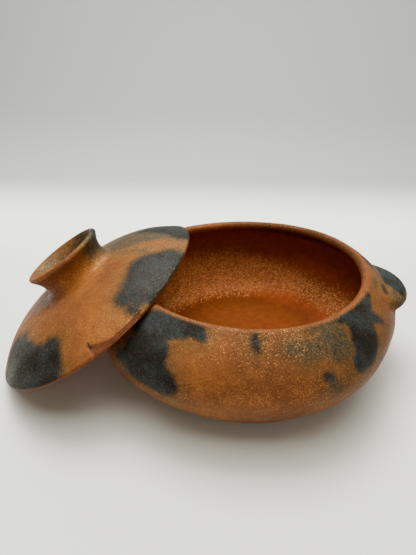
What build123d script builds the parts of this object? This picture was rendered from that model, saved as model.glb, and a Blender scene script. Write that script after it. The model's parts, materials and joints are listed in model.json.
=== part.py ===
from build123d import *
from math import asin, cos, degrees, hypot, pi, radians, sin, tau
import os

# A hand-built clay bean pot with two ear lugs and a loose, domed lid that has a cup-shaped knob.
# The lid is off: it leans over the left lug, its foot on the table and its edge on the pot's rim.
# Millimetres, +Z up. The origin is the centre of the pot's flat base, and the lugs lie along X.

# bowl
mouth_radius = 95.0  # to the innermost line of the lip
lip_thickness = 9.0
rim_height = 92.0
belly_swell = 23.0  # how far the belly stands out past the lip
belly_height = 55.0
base_radius = 86.0
wall = 6.0
floor_thickness = 7.0
shoulder_slope = 44.0  # degrees from level, where the shoulder runs into the lip
heel_pull = 6.0  # how far the outline keeps the direction it starts with, at each end of a curve
belly_pull_below = 20.0
belly_pull_above = 14.0
shoulder_pull = 18.0

# ear lugs
lug_reach = 18.0  # past the wall at the lug's own height
lug_half_width = 36.0
lug_root_depth = 28.0  # from the ellipse's centre to its tip
lug_thickness = 11.0
lug_drop = 20.0  # from the rim down to the middle of the lug
lug_upturn = 2.0  # degrees
lug_rounding = 5.0

# lid
lid_inset = 0.5  # from the outside of the lip, when the lid is on
lid_wall = 5.0
lid_rise = 30.0
lid_edge_slope = 42.0  # degrees from level
lid_crown_pull = 52.0
lid_edge_pull = 34.0

# knob, a flared ring that is open at the top and closed below by the lid
knob_foot_radius = 32.0
knob_neck_radius = 30.0
knob_neck_rise = 8.0  # above the top of the lid
knob_lip_radius = 35.0
knob_height = 23.0
knob_wall = 5.0
knob_neck_pull = 5.0
knob_foot_slope = 35.0  # degrees from level
knob_lip_slope = 62.0  # degrees from level

# how the lid leans
lid_overlap = 35.0  # how far it reaches past the two places where it crosses the rim
resting_gap = 0.3

# how finely the leaning place is looked for
lip_samples = 720
lug_samples = 24
lid_samples = 60
search_steps = 60
settled = 0.001

# sizes that follow
lip_radius = lip_thickness / 2
lip_circle_radius = mouth_radius + lip_radius
lip_circle_height = rim_height - lip_radius
belly_radius = mouth_radius + lip_thickness + belly_swell
lid_radius = mouth_radius + lip_thickness - lid_inset
lid_lip_radius = lid_wall / 2
lid_lip_circle_radius = lid_radius - lid_lip_radius
lid_tilt = asin(rim_height / (2 * lid_radius - lid_overlap))


def heading(degrees_from_level):
    """Unit vector, in an outline, at this angle above the direction away from the axis."""
    return Vector(cos(radians(degrees_from_level)), sin(radians(degrees_from_level)))


def revolved(*edges):
    """Solid of an outline that is drawn as (distance from the axis, height)."""
    return revolve(Plane.XZ * make_face(edges), Axis.Z)


def bowl_curves(inset, bottom):
    """Outline of the bowl from its bottom to its lip, moved in from the outside by the inset."""
    up_shoulder = heading(180 - shoulder_slope)
    shoulder_top = Vector(lip_circle_radius, lip_circle_height) + heading(90 - shoulder_slope) * (
        lip_radius if inset == 0 else -lip_radius
    )
    heel = Vector(base_radius - inset, bottom)
    belly = Vector(belly_radius - inset, belly_height)
    lower = Bezier(heel, heel + (heel_pull, 0), belly - (0, belly_pull_below), belly)
    upper = Bezier(
        belly, belly + (0, belly_pull_above), shoulder_top - up_shoulder * shoulder_pull, shoulder_top
    )
    return lower, upper


def lip_arc(start, centre, end):
    """Half round from start to end, about the centre, over the side that is on the left."""
    half = start - centre
    return ThreePointArc(start, centre + Vector(-half.Y, half.X), end)


def bowl_envelope():
    """The bowl filled level to its lip, to cut what is joined to its wall."""
    lower, upper = bowl_curves(0, 0)
    top = Vector(0, rim_height)
    return revolved(
        Line((0, 0), lower @ 0), lower, upper, Line(upper @ 1, ((upper @ 1).X, rim_height)),
        Line(((upper @ 1).X, rim_height), top), Line(top, (0, 0)),
    )


def bowl():
    """Round hollow bowl that swells to its belly and turns in to a rounded lip."""
    lower, upper = bowl_curves(0, 0)
    inner_lower, inner_upper = bowl_curves(wall, floor_thickness)
    lip = lip_arc(upper @ 1, Vector(lip_circle_radius, lip_circle_height), inner_upper @ 1)
    return revolved(
        Line((0, 0), lower @ 0), lower, upper, lip, inner_upper, inner_lower,
        Line(inner_lower @ 0, (0, floor_thickness)), Line((0, floor_thickness), (0, 0)),
    )


def wall_radius(height):
    """Outer radius of the bowl at a height above its belly."""
    upper = bowl_curves(0, 0)[1]
    low, high = 0.0, 1.0
    for _ in range(search_steps):
        middle = (low + high) / 2
        if (upper @ middle).Y < height:
            low = middle
        else:
            high = middle
    return (upper @ low).X


lug_height = rim_height - lug_drop
lug_tip = wall_radius(lug_height) + lug_reach
lug_centre = lug_tip - lug_root_depth


def right_lug():
    """Flat rounded ear, turned up a little, that ends on the bowl's outer wall."""
    slab = extrude(Ellipse(lug_root_depth, lug_half_width), lug_thickness / 2, both=True)
    slab = fillet(slab.edges(), min(lug_rounding, 0.49 * lug_thickness))
    place = Location((lug_centre, 0, lug_height)) * Rot(0, -lug_upturn, 0)
    return place * slab - bowl_envelope()


def lid_curves(side):
    """Outline of the lid's outside (side 1) or inside (side -1) from its middle to its lip."""
    out_of_edge = heading(90 - lid_edge_slope)
    down_edge = heading(-lid_edge_slope)
    edge = Vector(lid_lip_circle_radius, lid_lip_radius) + out_of_edge * (lid_lip_radius * side)
    crown = Vector(0, lid_rise if side > 0 else lid_rise - lid_wall)
    return Bezier(crown, crown + (lid_crown_pull, 0), edge - down_edge * lid_edge_pull, edge)


def lid_dome():
    """Shallow shell of even thickness with a rounded edge, standing on the plane z = 0."""
    outside = lid_curves(1)
    inside = lid_curves(-1)
    centre = Vector(lid_lip_circle_radius, lid_lip_radius)
    lip = lip_arc(inside @ 1, centre, outside @ 1)
    return revolved(outside, lip, inside, Line(inside @ 0, outside @ 0))


def lid_filled():
    """The lid with its hollow filled, to cut what is joined to its top."""
    outside = lid_curves(1)
    end = outside @ 1
    return revolved(outside, Line(end, (end.X, 0)), Line((end.X, 0), (0, 0)), Line((0, 0), outside @ 0))


def knob_side(inset):
    """Outline of the knob's wall from inside the lid up to its lip, moved in by the inset."""
    foot = Vector(knob_foot_radius - inset, lid_rise - lid_wall)
    neck = Vector(knob_neck_radius - inset, lid_rise + knob_neck_rise)
    lip_centre = Vector(knob_lip_radius - knob_wall / 2, lid_rise + knob_height - knob_wall / 2)
    lip = lip_centre + heading(knob_lip_slope - 90) * (knob_wall / 2 if inset == 0 else -knob_wall / 2)
    up_foot = heading(180 - knob_foot_slope)
    up_lip = heading(knob_lip_slope)
    below = Bezier(foot, foot + up_foot * knob_neck_pull, neck - (0, knob_neck_pull), neck)
    above = Bezier(neck, neck + (0, knob_neck_pull), lip - up_lip * knob_neck_pull, lip)
    return below, above


def lid_knob():
    """Flared ring that ends on the top of the lid."""
    below, above = knob_side(0)
    inner_below, inner_above = knob_side(knob_wall)
    lip_centre = Vector(knob_lip_radius - knob_wall / 2, lid_rise + knob_height - knob_wall / 2)
    lip = lip_arc(above @ 1, lip_centre, inner_above @ 1)
    ring = revolved(below, above, lip, inner_above, inner_below, Line(inner_below @ 0, below @ 0))
    return ring - lid_filled()


def pot_feelers():
    """Balls that trace the pot's lip and its left lug, each a centre and a radius."""
    balls = []
    for i in range(lip_samples):
        turn = tau * i / lip_samples
        on_lip = Vector(lip_circle_radius * cos(turn), lip_circle_radius * sin(turn), lip_circle_height)
        balls.append((on_lip, lip_radius))
    edge_radius = lug_thickness / 2
    for i in range(lug_samples + 1):
        turn = pi * (i / lug_samples - 0.5)
        out = lug_centre + (lug_root_depth - edge_radius) * cos(turn)
        rise = lug_root_depth * sin(radians(lug_upturn)) * cos(turn)
        on_lug = Vector(-out, (lug_half_width - edge_radius) * sin(turn), lug_height + rise)
        balls.append((on_lug, edge_radius))
    return balls


def lid_profile():
    """Points of the lid's inside, and its lip circle, each (radius, height, skin)."""
    inside = lid_curves(-1)
    points = [inside @ (i / lid_samples) for i in range(lid_samples + 1)]
    return [(p.X, p.Y, 0.0) for p in points] + [(lid_lip_circle_radius, lid_lip_radius, lid_lip_radius)]


def lid_place():
    """Where the lid comes to lie: foot on the table, moved towards the pot until it all but touches."""
    feelers = pot_feelers()
    profile = lid_profile()
    height = lid_lip_radius + lid_lip_circle_radius * sin(lid_tilt) - lid_lip_radius * cos(lid_tilt)

    def gap(offset):
        smallest = 2 * belly_radius
        for centre, radius in feelers:
            across, up = centre.X - offset, centre.Z - height
            axial = up * cos(lid_tilt) - across * sin(lid_tilt)
            radial = hypot(across * cos(lid_tilt) + up * sin(lid_tilt), centre.Y)
            for point_radius, point_height, skin in profile:
                near = hypot(radial - point_radius, axial - point_height) - radius - skin
                smallest = min(smallest, near)
        return smallest

    offset = -(lug_tip + lid_radius)
    for _ in range(search_steps):
        step = gap(offset) - resting_gap
        offset += step
        if step < settled:
            break
    return Location((offset, 0, height)) * Rot(0, -degrees(lid_tilt), 0)


os.makedirs("parts", exist_ok=True)
ear = right_lug()
lean = lid_place()
nodes = {
    "bowl": bowl(),
    "lug_right": ear,
    "lug_left": mirror(ear, about=Plane.YZ),
    "lid_dome": lean * lid_dome(),
    "lid_knob": lean * lid_knob(),
}
for name, shape in nodes.items():
    export_step(shape, f"parts/{name}.step")
print("lid tilt", round(degrees(lid_tilt), 2), "lid place", lean.position)
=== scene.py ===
import bpy
import bmesh
import json
from math import acos, atan2, cos, degrees, exp, hypot, pi, radians, sin, tan, tau
from mathutils import Matrix, Vector, noise
from mathutils.bvhtree import BVHTree
from mathutils.geometry import interpolate_bezier


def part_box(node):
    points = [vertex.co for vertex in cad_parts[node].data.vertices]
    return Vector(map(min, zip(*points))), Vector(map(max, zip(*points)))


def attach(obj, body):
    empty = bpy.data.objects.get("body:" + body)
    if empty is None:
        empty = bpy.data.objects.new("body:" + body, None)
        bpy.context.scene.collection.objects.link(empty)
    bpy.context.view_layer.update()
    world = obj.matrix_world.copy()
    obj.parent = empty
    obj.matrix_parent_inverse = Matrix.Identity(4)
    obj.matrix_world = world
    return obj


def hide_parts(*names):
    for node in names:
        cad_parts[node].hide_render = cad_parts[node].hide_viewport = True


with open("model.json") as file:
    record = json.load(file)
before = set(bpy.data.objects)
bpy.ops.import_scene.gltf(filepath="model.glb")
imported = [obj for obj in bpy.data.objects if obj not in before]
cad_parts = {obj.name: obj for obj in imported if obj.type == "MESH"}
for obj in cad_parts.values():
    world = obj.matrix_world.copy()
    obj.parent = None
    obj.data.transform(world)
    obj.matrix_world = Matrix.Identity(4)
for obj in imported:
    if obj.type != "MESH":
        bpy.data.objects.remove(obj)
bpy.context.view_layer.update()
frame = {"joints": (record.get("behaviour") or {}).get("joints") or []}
mm = 0.001
samePoint = 0.02  # outline points nearer to each other than this, in millimetres, are one


# outlines are lists of (distance from the axis, height) in millimetres
def bezier(start, startPull, endPull, end, count):
    corners = [Vector((x, 0, z)) for x, z in (start, startPull, endPull, end)]
    return [(p.x, p.z) for p in interpolate_bezier(*corners, count)]


def arc(centre, radius, fromAngle, toAngle, count):  # degrees, counted from straight out
    angles = [radians(fromAngle + (toAngle - fromAngle) * i / (count - 1)) for i in range(count)]
    return [(centre[0] + radius * cos(a), centre[1] + radius * sin(a)) for a in angles]


def joined(*stretches):  # one outline from several, without the points that repeat
    outline = []
    for stretch in stretches:
        for point in stretch:
            if not outline or hypot(point[0] - outline[-1][0], point[1] - outline[-1][1]) > samePoint:
                outline.append(point)
    return outline


def smoothStep(low, high, value):
    t = min(max((value - low) / (high - low), 0), 1)  # also falls, where low is the larger
    return t * t * (3 - 2 * t)


def waves(turn, terms):  # sum of (lobes, cosine part, sine part)
    return sum(a * cos(n * turn) + b * sin(n * turn) for n, a, b in terms)


def facing(turn, towards, low, high):  # 1 towards this turn in degrees; low and high are cosines
    return smoothStep(low, high, cos(turn - radians(towards)))


def outwards(turn):  # a level direction from the axis, by its turn in degrees
    return Vector((cos(radians(turn)), sin(radians(turn)), 0))


def handMade(point, dents):  # unevenness left by the hand, from dents given as (size, height)
    return sum(noise.noise(point * (1 / size)) * height for size, height in dents)


def spinOutline(outline, start, piece):  # a closed round shell; its rim and its inside set in past the start
    bm = bmesh.new()
    rimLayer = bm.verts.layers.float.new("rim")
    insideLayer = bm.verts.layers.float.new("inside")
    verts = []
    for i, (radius, height) in enumerate(outline):
        vert = bm.verts.new((radius, 0, height))
        vert[rimLayer] = smoothStep(*piece["rimSetsIn"], i - start)
        vert[insideLayer] = smoothStep(*piece["insideSetsIn"], i - start)
        verts.append(vert)
    edges = [bm.edges.new(pair) for pair in zip(verts, verts[1:])]
    bmesh.ops.spin(bm, geom=verts + edges, cent=(0, 0, 0), axis=(0, 0, 1), dvec=(0, 0, 0),
                   angle=tau, steps=piece["steps"], use_merge=True)
    bmesh.ops.remove_doubles(bm, verts=bm.verts, dist=samePoint / 2)
    bmesh.ops.recalc_face_normals(bm, faces=bm.faces)
    return bm


def newPiece(bm, name, material):
    mesh = bpy.data.meshes.new(name)
    bm.to_mesh(mesh)
    bm.free()
    for face in mesh.polygons:
        face.use_smooth = True
    mesh.materials.append(material)
    piece = bpy.data.objects.new(name, mesh)
    bpy.context.scene.collection.objects.link(piece)
    return piece


def finishedPiece(bm, name, place, material, body, replaced):
    bmesh.ops.transform(bm, matrix=place, verts=bm.verts)
    piece = newPiece(bm, name, material)
    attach(piece, body)
    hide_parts(*replaced)
    return piece


# shader helpers: a value may be a number, a colour or another node's output
def feed(tree, socket, value):
    if hasattr(value, "is_linked"):
        tree.links.new(value, socket)
    else:
        socket.default_value = value


def newNode(tree, kind, inputs={}, **settings):
    node = tree.nodes.new("ShaderNode" + kind)
    for name, value in settings.items():
        setattr(node, name, value)
    for name, value in inputs.items():
        feed(tree, node.inputs[name], value)
    return node


def calc(tree, operation, a, b=0.0, c=0.0):
    return newNode(tree, "Math", {0: a, 1: b, 2: c}, operation=operation).outputs[0]


def vectorCalc(tree, operation, a, b=(0, 0, 0)):
    return newNode(tree, "VectorMath", {0: a, 1: b}, operation=operation).outputs["Vector"]


def scaled(tree, vector, factor):
    return newNode(tree, "VectorMath", {0: vector, "Scale": factor}, operation="SCALE").outputs[0]


def mixColour(tree, share, a, b):
    node = newNode(tree, "Mix", data_type="RGBA", clamp_factor=True)
    for name, value in (("Factor_Float", share), ("A_Color", a), ("B_Color", b)):
        feed(tree, next(s for s in node.inputs if s.identifier == name), value)
    return next(s for s in node.outputs if s.identifier == "Result_Color")


def spread(tree, value, low, high, toLow=0.0, toHigh=1.0):  # a smooth step between two values
    node = newNode(tree, "MapRange", {"Value": value, "From Min": low, "From Max": high,
                                      "To Min": toLow, "To Max": toHigh}, interpolation_type="SMOOTHSTEP")
    return node.outputs["Result"]


def colour(r, g, b):  # from 0-255 screen values
    def linear(v):
        v /= 255
        return v / 12.92 if v <= 0.04045 else ((v + 0.055) / 1.055) ** 2.4
    return (linear(r), linear(g), linear(b), 1.0)


def newGroup(name, inputs, outputs):
    tree = bpy.data.node_groups.new(name, "ShaderNodeTree")
    for label, kind, default in inputs:
        socket = tree.interface.new_socket(name=label, in_out="INPUT", socket_type="NodeSocket" + kind)
        if default is not None:
            socket.default_value = default
    for label, kind in outputs:
        tree.interface.new_socket(name=label, in_out="OUTPUT", socket_type="NodeSocket" + kind)
    return tree, tree.nodes.new("NodeGroupInput").outputs, tree.nodes.new("NodeGroupOutput").inputs


def placeGroup(tree, group, inputs):
    return newNode(tree, "Group", inputs, node_tree=group).outputs


def micaFleckGroup():  # tiny flakes, each turned its own way, so that some catch the light
    tree, given, result = newGroup(
        "micaFlecks",
        [("Position", "Vector", None), ("Flake Size", "Float", 0.8), ("Amount", "Float", 0.3)],
        [("Flecks", "Float"), ("Tilt", "Vector"), ("Grain", "Float")])
    scale = calc(tree, "DIVIDE", 1 / mm, given["Flake Size"])
    cells = newNode(tree, "TexVoronoi", {"Vector": given["Position"], "Scale": scale, "Randomness": 1.0},
                    feature="F1")
    pick = newNode(tree, "SeparateColor", {"Color": cells.outputs["Color"]})
    chosen = calc(tree, "LESS_THAN", pick.outputs[0], given["Amount"])
    shape = spread(tree, cells.outputs["Distance"], 0.6, 0.3)  # a round patch with a soft edge
    flecks = calc(tree, "MULTIPLY", chosen, shape)
    tilt = vectorCalc(tree, "SUBTRACT", cells.outputs["Color"], (0.5, 0.5, 0.5))
    tree.links.new(flecks, result["Flecks"])
    tree.links.new(scaled(tree, tilt, flecks), result["Tilt"])
    tree.links.new(pick.outputs[1], result["Grain"])
    return tree


clay = {
    # the ground, outside and inside
    "orange": colour(133, 76, 36), "brown": colour(109, 62, 34), "paleOrange": colour(146, 88, 42),
    "paleShare": 0.5, "micaOrange": colour(180, 98, 38), "rim": colour(95, 51, 20),
    # painted light: the floor's bounce lightens each piece between these heights
    "paintedBounceFrom": 0.06, "paintedBounceTo": 0.028,  # heights in metres between which a piece's lower shade sets in
    "insideRed": colour(131, 58, 19), "insideOrange": colour(143, 81, 43), "insideFloor": colour(91, 42, 6),
    # smoke; soft edges and reaches are in millimetres
    "soot": colour(15, 17, 16), "ash": colour(33, 38, 38), "sootRagged": 7.0,
    "sootFade": (-1.4, 0.8),  # from outside the edge to inside it, times the piece's sootSoft
    "haze": colour(52, 47, 34), "hazeSoft": 5.0, "hazeCovers": 0.75,
    "tan": colour(102, 75, 39), "tanReach": 16.0, "tanInto": 2.0, "tanShare": 0.65,
    "markSoft": 0.7, "markShare": 0.85,
    # the lost flake of clay, where the layers below show as lines
    "scar": colour(90, 49, 26), "scarSoft": 0.4, "layerPitch": 1.6, "layerWander": 30.0,
    "layerLines": (0.38, 0.5, 0.45, 1.0),
    # mica flakes: sizes in millimetres, and the share of the cells that holds one where mica is thickest
    "gold": colour(208, 141, 72), "sootGold": colour(88, 88, 70), "glitterSoft": 8.0,
    "coarseSize": 0.75, "coarseSizeInside": 1.3, "coarseAmount": 0.3,
    "fineSize": 0.5, "fineAmount": 0.46, "fineInside": 0.3, "fineShare": 0.8,
    "boldSize": 0.8, "boldSizeInside": 1.4, "boldAmount": 0.26, "boldShareInside": 1.0, "boldFaintest": 0.3,
    "fleckShare": 0.42, "fleckShareInside": 0.66, "smokeHides": 0.15, "smokeHidesBold": 0.8,
    "grainOutside": 0.28, "grainLeast": 0.12, "grainRich": 0.6,  # how much a cell's brightness may differ
    # gloss
    "insideRoughness": 0.8, "flakeTilt": 0.45, "flakeGloss": 0.12, "flakeMetal": 0.8, "specular": 0.08,
    "pitStrength": 0.3, "pitDepth": 0.0005,
    # noise: scale per metre, detail, roughness and shift
    "edgeNoise": (60, 5, 0.62, (7, 0, 0)),  # bends the edges of the smoke
    "pitNoise": (520, 3, 0.6, (5, 5, 5)),
    # noise patterns: the same, then the two values it fades between and what it gives at each
    "patterns": {
        "drift": (15, 4, 0.55, (0, 0, 0), (0.36, 0.66), (0.0, 1.0)),
        "blush": (38, 5, 0.55, (3, 1, 2), (0.44, 0.72), (0.0, 1.0)),
        "mottle": (150, 4, 0.6, (1, 1, 6), (0.35, 0.65), (0.86, 1.1)),
        "dust": (620, 3, 0.7, (1, 5, 0), (0.30, 0.56), (0.84, 1.0)),
        "ashen": (44, 6, 0.62, (9, 2, 4), (0.40, 0.62), (0.0, 1.0)),
        "speckle": (420, 3, 0.7, (2, 2, 9), (0.36, 0.58), (0.55, 1.0)),
        "micaPatches": (24, 3, 0.5, (4, 4, 1), (0.34, 0.66), (0.17, 0.45)),
        "burnish": (30, 3, 0.5, (0, 8, 3), (0.3, 0.7), (0.5, 0.66)),
    },
}
unpainted = -20.0  # the depth, in millimetres, of what is in no stroke


def paint(bm, layerName, strokes, spot):  # how deep each outer point lies in the strokes, in millimetres
    inside = bm.verts.layers.float["inside"]
    layer = bm.verts.layers.float[layerName]
    verts = [vert for vert in bm.verts if vert[inside] < 0.5]
    for start, end, startReach, endReach in strokes:
        first, last = spot(*start), spot(*end)
        along = last - first
        middle = (first + last) / 2
        far = (along.length / 2 + max(startReach, endReach) - unpainted) ** 2
        for vert in verts:
            if (vert.co - middle).length_squared < far:
                out = vert.co - first
                share = min(max(out.dot(along) / max(along.length_squared, 0.01), 0), 1)
                depth = startReach + (endReach - startReach) * share - (out - along * share).length
                vert[layer] = max(vert[layer], depth)


def paintLayers(bm):
    for name in ("soot", "haze", "glitter", "mark", "scar"):
        layer = bm.verts.layers.float.new(name)
        for vert in bm.verts:
            vert[layer] = unpainted
    for name in ("floor", "paintedShade"):  # shares, which start at nothing
        bm.verts.layers.float.new(name)


def clayMaterial(name, piece):
    material = bpy.data.materials.new(name)
    material.use_nodes = True
    tree = material.node_tree
    tree.nodes.clear()
    position = newNode(tree, "TexCoord").outputs["Object"]

    def painted(layerName):
        return newNode(tree, "Attribute", attribute_name=layerName).outputs["Fac"]

    def noiseAt(scale, detail, rough, shift):
        moved = vectorCalc(tree, "ADD", position, shift)
        return newNode(tree, "TexNoise", {"Vector": moved, "Scale": scale, "Detail": detail,
                                          "Roughness": rough}).outputs["Fac"]

    def pattern(name):
        *source, between, gives = clay["patterns"][name]
        return spread(tree, noiseAt(*source), *between, *gives)

    def add(a, b):
        return calc(tree, "ADD", a, b)

    def times(a, b):
        return calc(tree, "MULTIPLY", a, b)

    def larger(a, b):
        return calc(tree, "MAXIMUM", a, b)

    def timesPlus(a, factor, more):
        return calc(tree, "MULTIPLY_ADD", a, factor, more)

    def oneMinus(a):
        return calc(tree, "SUBTRACT", 1.0, a)

    inside = painted("inside")
    outside = oneMinus(inside)
    belowRim = oneMinus(painted("rim"))

    def byPlace(outsideValue, insideValue):
        return timesPlus(inside, insideValue - outsideValue, outsideValue)

    # the ground colour drifts slowly, with finer mottling over it
    mottle = pattern("mottle")
    ground = mixColour(tree, pattern("drift"), clay["orange"], clay["brown"])
    ground = mixColour(tree, times(pattern("blush"), clay["paleShare"]), ground, clay["paleOrange"])

    # the clay is lighter where it is full of mica
    rich = spread(tree, painted("glitter"), -clay["glitterSoft"], clay["glitterSoft"])
    ground = mixColour(tree, times(rich, piece["micaShare"]), ground, clay["micaOrange"])
    insideColour = mixColour(tree, rich, clay["insideRed"], clay["insideOrange"])
    insideColour = mixColour(tree, painted("floor"), insideColour, clay["insideFloor"])

    # soot lies thick and dusty, with edges bent by noise; haze is thin and speckled, and tans what is near
    wander = times(calc(tree, "SUBTRACT", noiseAt(*clay["edgeNoise"]), 0.5), clay["sootRagged"])
    sootFrom, sootTo = (share * piece["sootSoft"] for share in clay["sootFade"])
    soot = spread(tree, add(painted("soot"), wander), sootFrom, sootTo)
    soot = times(times(soot, pattern("dust")), belowRim)
    sootColour = mixColour(tree, pattern("ashen"), clay["soot"], clay["ash"])
    sootColour = scaled(tree, sootColour, piece["sootShade"])
    haze = spread(tree, add(painted("haze"), wander), -clay["hazeSoft"], clay["hazeSoft"])
    haze = times(times(haze, pattern("speckle")), belowRim)
    nearSmoke = add(larger(painted("soot"), painted("haze")), wander)
    tanned = spread(tree, nearSmoke, -clay["tanReach"], clay["tanInto"], 0.0, clay["tanShare"])
    ground = mixColour(tree, tanned, ground, clay["tan"])

    # each piece's clay is scaled to its own shade, and lower down to a lighter one, which is painted light
    # from the floor's bounce
    height = newNode(tree, "SeparateXYZ", {0: position}).outputs["Z"]
    low = spread(tree, height, clay["paintedBounceFrom"], clay["paintedBounceTo"])
    tint = mixColour(tree, low, (*piece["shade"], 1), (*piece["paintedBounceTint"], 1))
    ground = mixColour(tree, belowRim, clay["rim"], vectorCalc(tree, "MULTIPLY", ground, tint))
    ground = mixColour(tree, inside, ground, insideColour)
    # painted shade: this layer darkens the inner wall and the inner half of the lip
    ground = scaled(tree, ground, oneMinus(painted("paintedShade")))

    # where a flake of clay is lost the layers below show as lines along the edge
    lost = painted("scar")
    depth = newNode(tree, "CombineXYZ", {"X": times(lost, clay["layerPitch"])}).outputs[0]
    depth = vectorCalc(tree, "ADD", depth, scaled(tree, position, clay["layerWander"]))
    layers = newNode(tree, "TexNoise", {"Vector": depth, "Scale": 1.0, "Detail": 2.0}).outputs["Fac"]
    lines = spread(tree, layers, *clay["layerLines"])
    scarred = spread(tree, lost, -clay["scarSoft"], clay["scarSoft"])
    ground = mixColour(tree, scarred, ground, scaled(tree, clay["scar"][:3], lines))

    base = mixColour(tree, haze, ground, clay["haze"])
    base = mixColour(tree, soot, base, sootColour)
    marked = spread(tree, painted("mark"), -clay["markSoft"], clay["markSoft"])
    base = mixColour(tree, times(marked, clay["markShare"]), base, clay["soot"])

    # mica is much thicker in some places than in others, and smoke hides some of it
    smoke = larger(soot, times(haze, clay["hazeCovers"]))
    covered = larger(smoke, scarred)
    thick = larger(times(pattern("micaPatches"), outside), rich)
    thick = times(thick, timesPlus(covered, -clay["smokeHides"], 1.0))
    thickFine = times(thick, byPlace(1.0, clay["fineInside"]))
    richBare = times(rich, timesPlus(covered, -clay["smokeHidesBold"], 1.0))
    coarse = placeGroup(tree, micaFlecks, {
        "Position": position, "Flake Size": byPlace(clay["coarseSize"], clay["coarseSizeInside"]),
        "Amount": times(thick, clay["coarseAmount"])})
    fine = placeGroup(tree, micaFlecks, {
        "Position": position, "Flake Size": clay["fineSize"],
        "Amount": times(thickFine, clay["fineAmount"])})
    bold = placeGroup(tree, micaFlecks, {
        "Position": position, "Flake Size": byPlace(clay["boldSize"], clay["boldSizeInside"]),
        "Amount": times(richBare, clay["boldAmount"])})
    faintest = clay["boldFaintest"]
    boldFlecks = times(bold["Flecks"], timesPlus(bold["Grain"], 1 - faintest, faintest))
    flecks = larger(coarse["Flecks"], times(fine["Flecks"], clay["fineShare"]))

    # the clay between the flakes is grainy too, most of all inside and under smoke
    grainy = larger(times(inside, rich), smoke)
    contrast = timesPlus(outside, clay["grainOutside"], clay["grainLeast"])
    contrast = timesPlus(grainy, clay["grainRich"], contrast)
    grainShade = timesPlus(calc(tree, "SUBTRACT", coarse["Grain"], 0.5), contrast, 1.0)
    base = scaled(tree, base, times(mottle, grainShade))
    flakeColour = mixColour(tree, smoke, clay["gold"], clay["sootGold"])
    flakeColour = mixColour(tree, scarred, flakeColour, clay["scar"])
    fleckShare = byPlace(clay["fleckShare"], clay["fleckShareInside"])
    boldShare = byPlace(piece["boldShare"], clay["boldShareInside"])
    base = mixColour(tree, times(flecks, fleckShare), base, flakeColour)
    base = mixColour(tree, times(boldFlecks, boldShare), base, flakeColour)
    flecks = larger(flecks, boldFlecks)

    bump = newNode(tree, "Bump", {"Height": noiseAt(*clay["pitNoise"]), "Strength": clay["pitStrength"],
                                  "Distance": clay["pitDepth"]}).outputs["Normal"]
    tilt = vectorCalc(tree, "ADD", vectorCalc(tree, "ADD", coarse["Tilt"], fine["Tilt"]), bold["Tilt"])
    tilt = scaled(tree, tilt, clay["flakeTilt"])
    normal = vectorCalc(tree, "NORMALIZE", vectorCalc(tree, "ADD", bump, tilt))

    rough = larger(pattern("burnish"), times(inside, clay["insideRoughness"]))
    rough = timesPlus(flecks, -clay["flakeGloss"], rough)
    shader = newNode(tree, "BsdfPrincipled", {
        "Base Color": base, "Roughness": rough, "Normal": normal,
        "Metallic": times(flecks, clay["flakeMetal"]), "Specular IOR Level": clay["specular"]})
    newNode(tree, "OutputMaterial", {"Surface": shader.outputs["BSDF"]})
    return material


micaFlecks = micaFleckGroup()
print("mica group ready")


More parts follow.
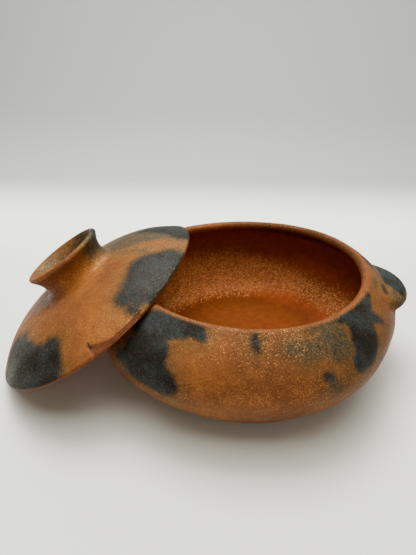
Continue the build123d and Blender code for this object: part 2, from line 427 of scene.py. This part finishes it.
pot = {  # millimetres and degrees
    "mouthRadius": 94.6, "lipThickness": 8.5, "bellyRadius": 127.2, "bellyHeight": 55.1,
    "baseRadius": 86.0, "wall": 6.0, "floorThickness": 7.0, "lipTurn": 33.4,
    "heelPull": 6.0, "bellyPullBelow": 20.3, "bellyPullAbove": 14.7, "shoulderPull": 18.2,
    "steps": 360, "flatParts": 12, "outerPoints": (26, 60), "lipPoints": 15, "innerPoints": (26, 24),
    "rimSetsIn": (-2, 2), "insideSetsIn": (6, 12),  # outline points, counted from the start of the lip
    # how far the rim and the belly are off the round: lobes, then two parts, as shares of the radius
    "rimRound": ((1, 0.0105, 0.0178), (2, 0.0218, 0.0048), (3, -0.0035, 0.0149), (4, 0.0035, 0.0067)),
    "bellyRound": ((1, 0.0030, -0.0049), (2, 0.0032, 0.0058), (3, 0.0110, 0.0), (4, 0.0001, -0.0010),
                   (5, 0.0117, 0.0140)),
    "rimRise": ((0, 0.3, 0.0), (1, -0.06, -0.61), (2, -0.14, 0.40), (3, -0.46, 0.59)),
    "dents": ((34, 0.5), (13, 0.16)),  # sizes and heights of the hand's unevenness
    # the lugs: how far they stand out, how wide they are in degrees, how thick, and how round each side is
    "lugReach": 14.4, "lugHalfAngle": 16.6, "lugTurn": 1.1, "lugHeight": 72.0, "lugUpturn": 1.1,
    "lugHalfThickness": 5.1, "lugEdgeThickness": 0.86, "lugPower": 0.58, "lugSlope": -1.5,
    "lugSharpness": 3.07, "lugSharpnessAbove": 3.8,
    # the clay's shade, its lighter shade lower down (painted light from the floor's bounce), how soft and how
    # light the soot is, and how rich the mica
    "shade": (0.61, 0.63, 0.64), "paintedBounceTint": (0.67, 0.77, 0.87), "sootSoft": 2.4, "sootShade": 1.08,
    "micaShare": 0.1, "boldShare": 0.28,
    # the inner wall is full of mica up to a height, less so towards a turn, and the floor has little
    "micaTop": 47.0, "micaFewer": 13.0, "micaFewerTurn": 20.0, "micaFewerFade": (0.2, 1.0),
    "floorRadius": 84.0, "floorSoft": 8.0, "floorTop": 30.0,
    # painted shade: the inner wall darkens towards a turn, where the near rim shades it, and outwards and
    # downwards between these
    "dimMost": 0.38, "dimTurn": 15.0, "dimFade": (0.7, 0.95), "dimOut": (64.0, 86.0), "dimUp": (48.0, 32.0),
    # painted shade: the inner half of the lip darkens towards another turn, where its round turns away from
    # the light
    "dimLip": 0.6, "dimLipTurn": 40.0, "dimLipFade": (0.5, 0.9), "dimLipAbove": 78.0, "dimLipIn": (1.5, -2.5),
    # strokes of soot, haze and mica: from and to, each (turn in degrees, height), then the reach at each end
    "soot": (
        # the wide cloud beside the lid
        ((-128, 90), (-111, 90), 6.4, 5.0), ((-123, 87), (-117, 89), 8.0, 6.0),
        ((-111, 89), (-109, 88), 4.0, 3.4),
        ((-133, 84), (-125, 75), 10.8, 13.3), ((-132, 71), (-122, 66), 9.4, 11.8),
        ((-122, 66), (-118, 62), 11.8, 9.7), ((-118, 63), (-116, 60), 9.0, 7.6),
        ((-136, 65), (-126, 61), 3.7, 5.7), ((-133, 87), (-128, 88), 7.2, 7.1),
        # the boot-shaped cloud on the right
        ((-25, 90), (-34, 88), 1.6, 6.5), ((-36, 88), (-44, 86), 8.0, 12.0),
        ((-36, 86), (-31, 77), 7.5, 1.5), ((-43, 85), (-45, 78), 13.0, 13.0),
        ((-46, 77), (-47, 74), 12.5, 11.5), ((-46, 70), (-52, 69), 8.0, 7.0),
        ((-44, 90), (-52, 91), 5.5, 3.0),
        # small spots
        ((-89, 93), (-89, 90), 0.8, 2.5), ((-89, 90), (-88.5, 85.5), 2.7, 1.2),
        ((-66, 70), (-65, 69), 3.0, 3.0), ((-8, 82), (-11, 80), 1.6, 1.6),
        # the top of the right lug with its crease, and the outside of the far rim
        ((12, 78), (-1, 79), 6.5, 5.0), ((9, 76), (-2, 76), 6.0, 5.5), ((-1, 78), (-8, 76), 5.5, 2.5),
        ((4, 88), (-2, 84), 1.6, 1.4),
        ((34, 88.5), (14, 88), 2.0, 3.0), ((14, 88), (5, 88), 3.0, 2.6),
    ),
    "haze": (
        ((-66, 93), (-48, 91), 5.5, 7.0), ((-58, 87), (-56, 81), 10.0, 8.0), ((-76, 86), (-65, 84), 5.0, 7.5),
        ((-60, 90), (-60, 80), 9.0, 7.5), ((-72, 82), (-68, 82), 4.0, 5.0), ((-65, 64), (-62, 60), 2.8, 2.9),
        # the top of the right lug
        ((12, 78), (-3, 78.5), 8.0, 6.0), ((8, 76), (-5, 76), 8.0, 6.0), ((-3, 75), (-7, 74.5), 6.0, 5.0),
        ((0, 74), (-9, 74), 13.0, 10.0), ((-8, 77), (-13, 75), 8.0, 6.0),
        ((-8, 88), (-16, 87), 1.0, 1.0),  # with little or no reach the haze stays thin
    ),
    "mark": (
        # painted shade: a dark dash in the crease at the lug's near root
        ((-9, 84), (-12.5, 81.5), 0.8, 1.1),
        ((44, 91.5), (24, 91), -0.4, 0.5), ((24, 91), (8, 89.5), 0.5, 1.1),
    ),
    "glitter": (
        ((-105, 88), (-100, 77), 7.0, 5.0), ((-73, 87), (-67, 83), 7.5, 6.3),
        ((-108, 82), (-107, 66), 2.7, 4.4),
        ((-96, 59), (-85, 58), 3.0, 3.0), ((-76, 62), (-66, 65), 3.0, 2.0),
    ),
}
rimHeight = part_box("bowl")[1].z / mm


def potOutline():
    p = pot
    lip = p["lipThickness"] / 2
    lipCentre = (p["mouthRadius"] + lip, rimHeight - lip)
    out = radians(90 - p["lipTurn"])
    up = (-cos(radians(p["lipTurn"])), sin(radians(p["lipTurn"])))

    def side(inset, bottom, sign, points):  # from the heel over the belly to the lip
        end = (lipCentre[0] + sign * lip * cos(out), lipCentre[1] + sign * lip * sin(out))
        belly = (p["bellyRadius"] - inset, p["bellyHeight"])
        heel = (p["baseRadius"] - inset, bottom)
        lower = bezier(heel, (heel[0] + p["heelPull"], bottom),
                       (belly[0], belly[1] - p["bellyPullBelow"]), belly, points[0])
        shoulder = (end[0] - up[0] * p["shoulderPull"], end[1] - up[1] * p["shoulderPull"])
        upper = bezier(belly, (belly[0], belly[1] + p["bellyPullAbove"]), shoulder, end, points[1])
        return lower + upper

    def flat(radius, height):  # from the axis out
        return [(radius * i / p["flatParts"], height) for i in range(p["flatParts"] + 1)]

    outer = side(0, 0, 1, p["outerPoints"])
    inner = side(p["wall"], p["floorThickness"], -1, p["innerPoints"])
    lipRound = arc(lipCentre, lip, 90 - p["lipTurn"], 270 - p["lipTurn"], p["lipPoints"])
    base = flat(p["baseRadius"], 0)
    floor = flat(p["baseRadius"] - p["wall"], p["floorThickness"])
    lipStart = len(joined(base, outer))
    return joined(base, outer, lipRound, inner[::-1], floor[::-1]), lipStart


def lugShare(turn, height):  # how far the wall stands out here, as a share of the lug's reach
    p = pot
    fromLug = min((degrees(atan2(sin(turn - lug), cos(turn - lug))) for lug in (0, pi)), key=abs)
    across = (fromLug - p["lugTurn"]) / p["lugHalfAngle"]
    plan = max(1 - across * across, 0) ** p["lugPower"]
    middle = p["lugHeight"] + p["lugUpturn"] * plan + p["lugSlope"] * across
    edge = p["lugEdgeThickness"]
    halfThickness = p["lugHalfThickness"] * (edge + (1 - edge) * plan)
    if height > middle:
        return plan * exp(-((height - middle) / halfThickness) ** p["lugSharpnessAbove"])
    return plan * exp(-((middle - height) / halfThickness) ** p["lugSharpness"])


def roundPlace(vert):  # distance from the axis, turn and height
    return hypot(vert.co.x, vert.co.y), atan2(vert.co.y, vert.co.x), vert.co.z


def makePot():
    p = pot
    outline, lipStart = potOutline()
    bm = spinOutline(outline, lipStart, p)
    paintLayers(bm)
    layers = bm.verts.layers.float
    inside, glitter, floor, paintedShade = layers["inside"], layers["glitter"], layers["floor"], layers["paintedShade"]
    lipMiddle = p["mouthRadius"] + p["lipThickness"] / 2
    dimLipFrom, dimLipTo = (lipMiddle + offset for offset in p["dimLipIn"])
    for vert in bm.verts:
        radius, turn, height = roundPlace(vert)
        # painted shade on the inner half of the lip, towards the lip's turn
        if height > p["dimLipAbove"]:
            vert[paintedShade] = p["dimLip"] * (facing(turn, p["dimLipTurn"], *p["dimLipFade"])
                                       * max(vert[inside], smoothStep(dimLipFrom, dimLipTo, radius)))
        upper = smoothStep(p["bellyHeight"], rimHeight, height)
        lower = (1 - upper) * smoothStep(0, p["bellyHeight"], height)
        grown = radius * (1 + upper * waves(turn, p["rimRound"]) + lower * waves(turn, p["bellyRound"]))
        grown += handMade(vert.co, p["dents"])
        if vert[inside] < 0.5 and radius > p["mouthRadius"]:
            grown += p["lugReach"] * lugShare(turn, height)
        if radius > 1:
            vert.co.x *= grown / radius
            vert.co.y *= grown / radius
        vert.co.z += waves(turn, p["rimRise"]) * (height / rimHeight) ** 3

    tree = BVHTree.FromBMesh(bm)

    def spot(turn, height):  # the point of the outer wall at this turn and height
        out = outwards(turn)
        while True:
            hit = tree.ray_cast(out * 2 * p["bellyRadius"] + Vector((0, 0, height)), -out)[0]
            if hit and hit.dot(out) > p["mouthRadius"]:
                return hit
            height -= 0.5  # over the rim, so a little lower

    for layerName in ("soot", "haze", "glitter", "mark"):
        paint(bm, layerName, p[layerName], spot)
    floorFrom, floorTo = p["floorRadius"] + p["floorSoft"], p["floorRadius"] - p["floorSoft"]
    for vert in bm.verts:
        if vert[inside] > 0.5:
            radius, turn, height = roundPlace(vert)
            fewer = p["micaFewer"] * facing(turn, p["micaFewerTurn"], *p["micaFewerFade"])
            vert[glitter] = min(p["micaTop"] - height, radius - p["floorRadius"]) - fewer
            # painted shade on the inner wall, where the near rim shades it
            vert[paintedShade] += p["dimMost"] * (facing(turn, p["dimTurn"], *p["dimFade"])
                                         * smoothStep(*p["dimOut"], radius) * smoothStep(*p["dimUp"], height))
            vert[floor] = smoothStep(floorFrom, floorTo, radius) * (height < p["floorTop"])
    material = clayMaterial("potClay", p)
    return finishedPiece(bm, "potSkin", Matrix.Scale(mm, 4), material, "pot",
                         ("bowl", "lug_right", "lug_left"))


potPiece = makePot()
print("pot made", len(potPiece.data.polygons))


lid = {  # millimetres and degrees
    "slopeRadius": 99.3, "crossRadius": 106.1, "edgeSpin": -7.9,  # the edge is an oval, turned a little
    "wall": 4.25, "rise": 29.4, "edgeSlope": 38.6, "crownPull": 55.1, "edgePull": 35.7,
    "steps": 360, "domePoints": 90, "hollowPoints": 60, "edgePoints": 13,
    "rimSetsIn": (-1, 3), "insideSetsIn": (0, 6),  # outline points, counted from the outermost one
    # how far the edge is off the oval, as shares of the radius, and its rise and fall in millimetres
    "edgeRound": ((3, 0.0030, -0.0003), (4, 0.0120, -0.0022)),
    "edgeRise": ((2, 0.88, -0.71), (3, -1.31, -0.43)),
    "dents": ((32, 0.35),), "edgeSmoother": 0.6,  # the share of the unevenness that is gone at the edge
    # how it lies: the CAD lid's wall, how much more it leans than that one, and its shifts
    "cadWall": 5.0, "leanMore": 0.36, "lift": 0.19, "slide": 0.70, "aside": -1.06,
    # the knob, then how its neck, its foot and its cup are drawn
    "knobFootRadius": 37.2, "knobNeckRadius": 30.15, "knobNeckRise": 7.75, "knobLipRadius": 35.3,
    "knobHeight": 23.3, "knobWall": 4.6, "knobLean": 2.2, "knobOff": (-0.88, -0.59), "knobTip": -1.06,
    "knobBlend": (3.0, 4.0), "knobPull": 5.0, "knobFlare": (2.5, 4.3),
    "footPull": (5.5, 0.3), "cupWallMore": 1.0, "cupFloorRise": 1.0, "cupFloorInset": 7.0,
    "knobLipTurn": (-30, 150), "knobLipPoints": 13, "neckPoints": 14,
    "cupFloorParts": 6, "cupPoints": 10, "cupUpPoints": 12,
    # a flake lost from the edge, widest where it starts; degrees from downhill and millimetres
    "chipFrom": 105.8, "chipNarrows": 115.0, "chipTo": 130.0, "chipWidth": 6.2, "chipEndWidth": 2.0,
    "chipTaper": 0.3, "chipDepth": 1.1, "chipSoft": (-0.6, 0.8),
    # the clay, as on the pot
    "shade": (0.705, 0.715, 0.62), "paintedBounceTint": (0.71, 0.72, 0.67), "sootSoft": 4.4, "sootShade": 0.79,
    "micaShare": 0.22, "boldShare": 0.4,
    # strokes as on the pot, but each end is (turn from downhill, distance from the middle)
    "soot": (
        # the cloud over the foot
        ((46, 83), (52, 98), 14, 17), ((54, 83), (60, 98), 16, 17), ((65, 88), (66, 99), 15.5, 16),
        ((76, 91), (76, 100), 13, 12), ((86, 88), (84, 99), 10, 15),
        # the cloud next to the pot
        ((163, 92), (152, 80), 9, 12), ((152, 82), (140, 84), 13, 10), ((138, 87), (131, 87), 10, 8),
        ((134, 92), (130, 95), 9, 6), ((150, 95), (140, 98), 13, 10), ((164, 99), (155, 98), 8, 12),
        # the back of the dome, by the edge
        ((-150, 72), (-166, 99), 8, 20),
    ),
    "mark": (
        # painted shadow of the chip's step, with soot in it
        ((105.9, 96.5), (106.2, 99.8), 0.7, 1.5),
    ),
    "haze": (
        # the back of the dome
        ((-130, 50), (-148, 60), 19, 30), ((-150, 65), (-157, 98), 33, 40), ((174, 46), (166, 74), 0, 1),
    ),
    "glitter": (
        ((114, 84), (127, 95), 12.5, 10.7), ((110, 95), (120, 98), 7.0, 6.0),
    ),
    # on the outside of the knob and in its cup each end is (turn from downhill, height)
    "knobSoot": (
        ((-168, 51), (-172, 42), 4.0, 2.0),
    ),
    "knobHaze": (
        ((-175, 50), (165, 45), 15.0, 9.0),
    ),
    "knobGlitter": (
        ((98, 33), (128, 34), 8.0, 11.0), ((128, 34), (162, 34), 11.0, 8.0),
    ),
    "cupHaze": (
        ((-165, 44), (-110, 44), 14.0, 12.0), ((-110, 44), (-30, 46), 12.0, 5.0),
        ((-30, 46), (0, 48), 5.0, 1.0),
    ),
    "cupGlitter": (
        ((-90, 44), (-15, 44), 8.0, 9.0),
    ),
}
lidAxis = Vector(frame["joints"][0]["axis"])
lidLow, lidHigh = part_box("lid_dome")


def lidPlace():  # the leaning lid's own frame: x downhill, z along the knob
    lean = acos(lidAxis.z)
    lip = lid["cadWall"] / 2 * mm
    ringRadius = lidHigh.y - lip
    middle = Vector((lidLow.x + lip + ringRadius * cos(lean), 0, lip + ringRadius * sin(lean)))
    centre = middle - lidAxis * lip
    lean += radians(lid["leanMore"])
    axis = Vector((-sin(lean), 0, cos(lean)))
    downhill = Vector((-cos(lean), 0, -sin(lean)))
    across = axis.cross(downhill)
    centre += (axis * lid["lift"] + downhill * lid["slide"] + across * lid["aside"]) * mm
    turned = Matrix((downhill, across, axis)).transposed().to_4x4()
    return Matrix.Translation(centre) @ turned @ Matrix.Scale(mm, 4)


def lidOutline():
    p = lid
    radius = (p["slopeRadius"] + p["crossRadius"]) / 2
    lip = p["wall"] / 2
    lipCentre = (radius - lip, lip)
    slope = radians(p["edgeSlope"])

    def dome(sign, count):
        end = (lipCentre[0] + sign * lip * sin(slope), lipCentre[1] + sign * lip * cos(slope))
        top = p["rise"] if sign > 0 else p["rise"] - p["wall"]
        pull = (end[0] - cos(slope) * p["edgePull"], end[1] + sin(slope) * p["edgePull"])
        return bezier((0, top), (p["crownPull"], top), pull, end, count)

    outer = [point for point in dome(1, p["domePoints"]) if point[0] > p["knobFootRadius"]]
    inner = dome(-1, p["hollowPoints"])
    edge = arc(lipCentre, lip, 90 - p["edgeSlope"], -90 - p["edgeSlope"], p["edgePoints"])

    # the knob, from its foot up to its lip, over it and down into the cup
    pull = p["knobPull"]
    lipRadius = p["knobWall"] / 2
    knobLip = (p["knobLipRadius"] - lipRadius, p["rise"] + p["knobHeight"] - lipRadius)
    knobArc = arc(knobLip, lipRadius, *p["knobLipTurn"], p["knobLipPoints"])
    foot, neck = outer[0], (p["knobNeckRadius"], p["rise"] + p["knobNeckRise"])
    footUp = bezier(foot, (foot[0] - p["footPull"][0], foot[1] + p["footPull"][1]),
                    (neck[0], neck[1] - pull), neck, p["neckPoints"])

    def flareUp(start, end, points):  # from a neck to the lip's round
        below = (end[0] - p["knobFlare"][0], end[1] - p["knobFlare"][1])
        return bezier(start, (start[0], start[1] + pull), below, end, points)

    neckUp = flareUp(neck, knobArc[0], p["neckPoints"])
    inNeck = (neck[0] - p["knobWall"] - p["cupWallMore"], neck[1])
    cupUp = flareUp(inNeck, knobArc[-1], p["cupUpPoints"])
    cupFloor = (inNeck[0] - p["cupFloorInset"], p["rise"] + p["cupFloorRise"])
    cup = bezier(cupFloor, (cupFloor[0] + pull, cupFloor[1]),
                 (inNeck[0], inNeck[1] - pull), inNeck, p["cupPoints"])
    flat = [(cupFloor[0] * i / p["cupFloorParts"], cupFloor[1]) for i in range(p["cupFloorParts"] + 1)]
    return joined(flat, cup, cupUp, knobArc[::-1], neckUp[::-1], footUp[::-1], outer, edge, inner[::-1])


def makeLid():
    p = lid
    outline = lidOutline()
    outermost = max(range(len(outline)), key=lambda i: outline[i][0])
    bm = spinOutline(outline, outermost, p)
    paintLayers(bm)
    inside, scar = bm.verts.layers.float["inside"], bm.verts.layers.float["scar"]
    mean = (p["slopeRadius"] + p["crossRadius"]) / 2
    for vert in bm.verts:
        radius, turn, _ = roundPlace(vert)
        spun = turn - radians(p["edgeSpin"])
        out = min(radius / mean, 1) ** 2
        oval = hypot(p["slopeRadius"] * cos(spun), p["crossRadius"] * sin(spun)) / mean
        grown = 1 + out * (oval * (1 + waves(turn, p["edgeRound"])) - 1)
        vert.co.x *= grown
        vert.co.y *= grown
        uneven = handMade(vert.co, p["dents"]) * (1 - out * p["edgeSmoother"])
        vert.co.z += out * waves(turn, p["edgeRise"]) + uneven
        if vert[inside] == 0:
            along = degrees(turn)
            width = p["chipEndWidth"] + (p["chipWidth"] - p["chipEndWidth"]) * smoothStep(
                p["chipNarrows"], p["chipFrom"], along)
            vert[scar] = min(radius - mean + width, radians(along - p["chipFrom"]) * mean,
                             radians(p["chipTo"] - along) * p["chipTaper"] * mean)
            vert.co.z -= p["chipDepth"] * smoothStep(*p["chipSoft"], vert[scar])
        above = max(vert.co.z - p["rise"], 0)
        onKnob = max(smoothStep(p["knobFootRadius"] + p["knobBlend"][0], p["knobNeckRadius"], radius),
                     smoothStep(0, p["knobBlend"][1], above))
        vert.co.x += p["knobOff"][0] * onKnob + tan(radians(p["knobLean"])) * above
        vert.co.y += p["knobOff"][1] * onKnob
        vert.co.z += p["knobTip"] * cos(turn) * above / p["knobHeight"]

    tree = BVHTree.FromBMesh(bm)

    def spot(turn, distance):  # the point of the lid's outside at this turn and distance
        while True:
            hit = tree.ray_cast(outwards(turn) * distance + Vector((0, 0, 2 * mean)), Vector((0, 0, -1)))[0]
            if hit:
                return hit
            distance -= 0.5  # past the edge, so a little nearer

    def knobSpot(turn, height):  # the point of the knob's outside at this turn and height
        out = outwards(turn)
        return tree.ray_cast(out * 2 * p["knobNeckRadius"] + Vector((0, 0, height)), -out)[0]

    def cupSpot(turn, height):  # and of its cup's wall
        return tree.ray_cast(Vector((0, 0, height)), outwards(turn))[0]

    for layerName in ("soot", "haze", "glitter", "mark"):
        paint(bm, layerName, p[layerName], spot)
    paint(bm, "soot", p["knobSoot"], knobSpot)
    paint(bm, "haze", p["knobHaze"], knobSpot)
    paint(bm, "glitter", p["knobGlitter"], knobSpot)
    paint(bm, "haze", p["cupHaze"], cupSpot)
    paint(bm, "glitter", p["cupGlitter"], cupSpot)
    material = clayMaterial("lidClay", p)
    return finishedPiece(bm, "lidSkin", lidPlace(), material, "lid", ("lid_dome", "lid_knob"))


lidPiece = makeLid()
print("lid made", len(lidPiece.data.polygons))


stage = {  # a sheet of pale paper that curves up behind the pot, in metres
    "halfWidth": 4.0, "wallDistance": 2.2, "sweep": 0.8, "sweepStep": 6, "wallHeight": 3.0,
    # painted light: the paper is lighter in a band just behind the pot, and painted shade darkens it further
    # back
    "floorColour": colour(219, 220, 213), "paintedGlowColour": colour(237, 240, 233),
    "paintedShadeBackColour": colour(154, 157, 151), "roughness": 0.85,
    "brightensFrom": 0.1, "brightensTo": 0.3, "darkensFrom": 0.31, "darkensTo": 0.56,  # behind the pot
}


def paperMaterial():
    s = stage
    material = bpy.data.materials.new("paper")
    material.use_nodes = True
    tree = material.node_tree
    behind = newNode(tree, "SeparateXYZ", {0: newNode(tree, "TexCoord").outputs["Object"]}).outputs["Y"]
    # painted light in a band behind the pot, then painted shade further back
    brighter = spread(tree, behind, s["brightensFrom"], s["brightensTo"])
    darker = spread(tree, behind, s["darkensFrom"], s["darkensTo"])
    shade = mixColour(tree, brighter, s["floorColour"], s["paintedGlowColour"])
    shade = mixColour(tree, darker, shade, s["paintedShadeBackColour"])
    shader = tree.nodes["Principled BSDF"]
    tree.links.new(shade, shader.inputs["Base Color"])
    shader.inputs["Roughness"].default_value = s["roughness"]
    return material


def makeStage():
    s = stage
    bm = bmesh.new()
    bend = s["sweep"]
    line = [(-s["halfWidth"], 0)]
    line += [(s["wallDistance"] - bend + bend * sin(radians(a)), bend - bend * cos(radians(a)))
             for a in range(0, 91, s["sweepStep"])]
    line += [(s["wallDistance"], s["wallHeight"])]
    verts = [bm.verts.new((-s["halfWidth"], y, z)) for y, z in line]
    edges = [bm.edges.new(pair) for pair in zip(verts, verts[1:])]
    made = bmesh.ops.extrude_edge_only(bm, edges=edges)
    moved = [v for v in made["geom"] if isinstance(v, bmesh.types.BMVert)]
    bmesh.ops.translate(bm, vec=(2 * s["halfWidth"], 0, 0), verts=moved)
    bmesh.ops.recalc_face_normals(bm, faces=bm.faces)
    piece = newPiece(bm, "backdrop", paperMaterial())


lights = {  # place, aim and size in metres, then watts and tint
    "softTop": ((-0.1, 0.1, 1.15), (-0.1, 0.1, 0), (1.05, 1.4), 27.6, (1.0, 1.0, 0.93)),
    "softCore": ((-0.15, 0.3, 1.14), (-0.15, 0.3, 0), (0.62, 0.6), 20, (1.0, 1.0, 0.93)),
    "frontFill": ((0.5, -1.4, 0.9), (0, 0, 0.05), (1.4, 1.0), 3, (1, 1, 1)),
    "wallWash": ((0, 1.7, 1.4), (0, 2.0, 0.2), (3.0, 0.8), 50, (1, 1, 1)),
}
sky = {"colour": (1, 0.86, 0.64, 1), "strength": 0.3}


def areaLight(name, place, aim, size, power, tint):
    data = bpy.data.lights.new(name, "AREA")
    data.shape = "RECTANGLE"
    data.size, data.size_y = size
    data.energy = power
    data.color = tint
    light = bpy.data.objects.new(name, data)
    light.location = place
    light.rotation_euler = (Vector(aim) - Vector(place)).to_track_quat("-Z", "Y").to_euler()
    bpy.context.scene.collection.objects.link(light)


def makeSky():
    world = bpy.data.worlds.new("studio")
    world.use_nodes = True
    background = world.node_tree.nodes["Background"].inputs
    background["Color"].default_value = sky["colour"]
    background["Strength"].default_value = sky["strength"]
    bpy.context.scene.world = world


camera = {  # millimetres and degrees; the last three values give its lens
    "distance": 421.4, "rise": 38.91, "standRight": 4.0, "turn": -1.68, "down": 29.69, "roll": 0.3,
    "focalPixels": 430.0, "imageHeight": 555.0, "sensor": 36.0,
}


def makeCamera():
    c = camera
    rise, side, turn, down = (radians(c[k]) for k in ("rise", "standRight", "turn", "down"))
    flat = c["distance"] * cos(rise) * mm
    place = Vector((-flat * sin(side), -flat * cos(side), c["distance"] * sin(rise) * mm))
    ahead = Vector((sin(turn) * cos(down), cos(turn) * cos(down), -sin(down)))
    right = Vector((cos(turn), -sin(turn), 0))
    up = right.cross(ahead)
    roll = radians(c["roll"])
    x = right * cos(roll) + up * sin(roll)
    y = up * cos(roll) - right * sin(roll)
    data = bpy.data.cameras.new("camera")
    data.sensor_width = c["sensor"]
    data.lens = c["focalPixels"] * c["sensor"] / c["imageHeight"]
    data.clip_start = 0.01
    eye = bpy.data.objects.new("camera", data)
    eye.matrix_world = Matrix.Translation(place) @ Matrix((x, y, -ahead)).transposed().to_4x4()
    bpy.context.scene.collection.objects.link(eye)
    bpy.context.scene.camera = eye


makeStage()
for lightName, values in lights.items():
    areaLight(lightName, *values)
makeSky()
makeCamera()
print("stage, lights and camera ready")
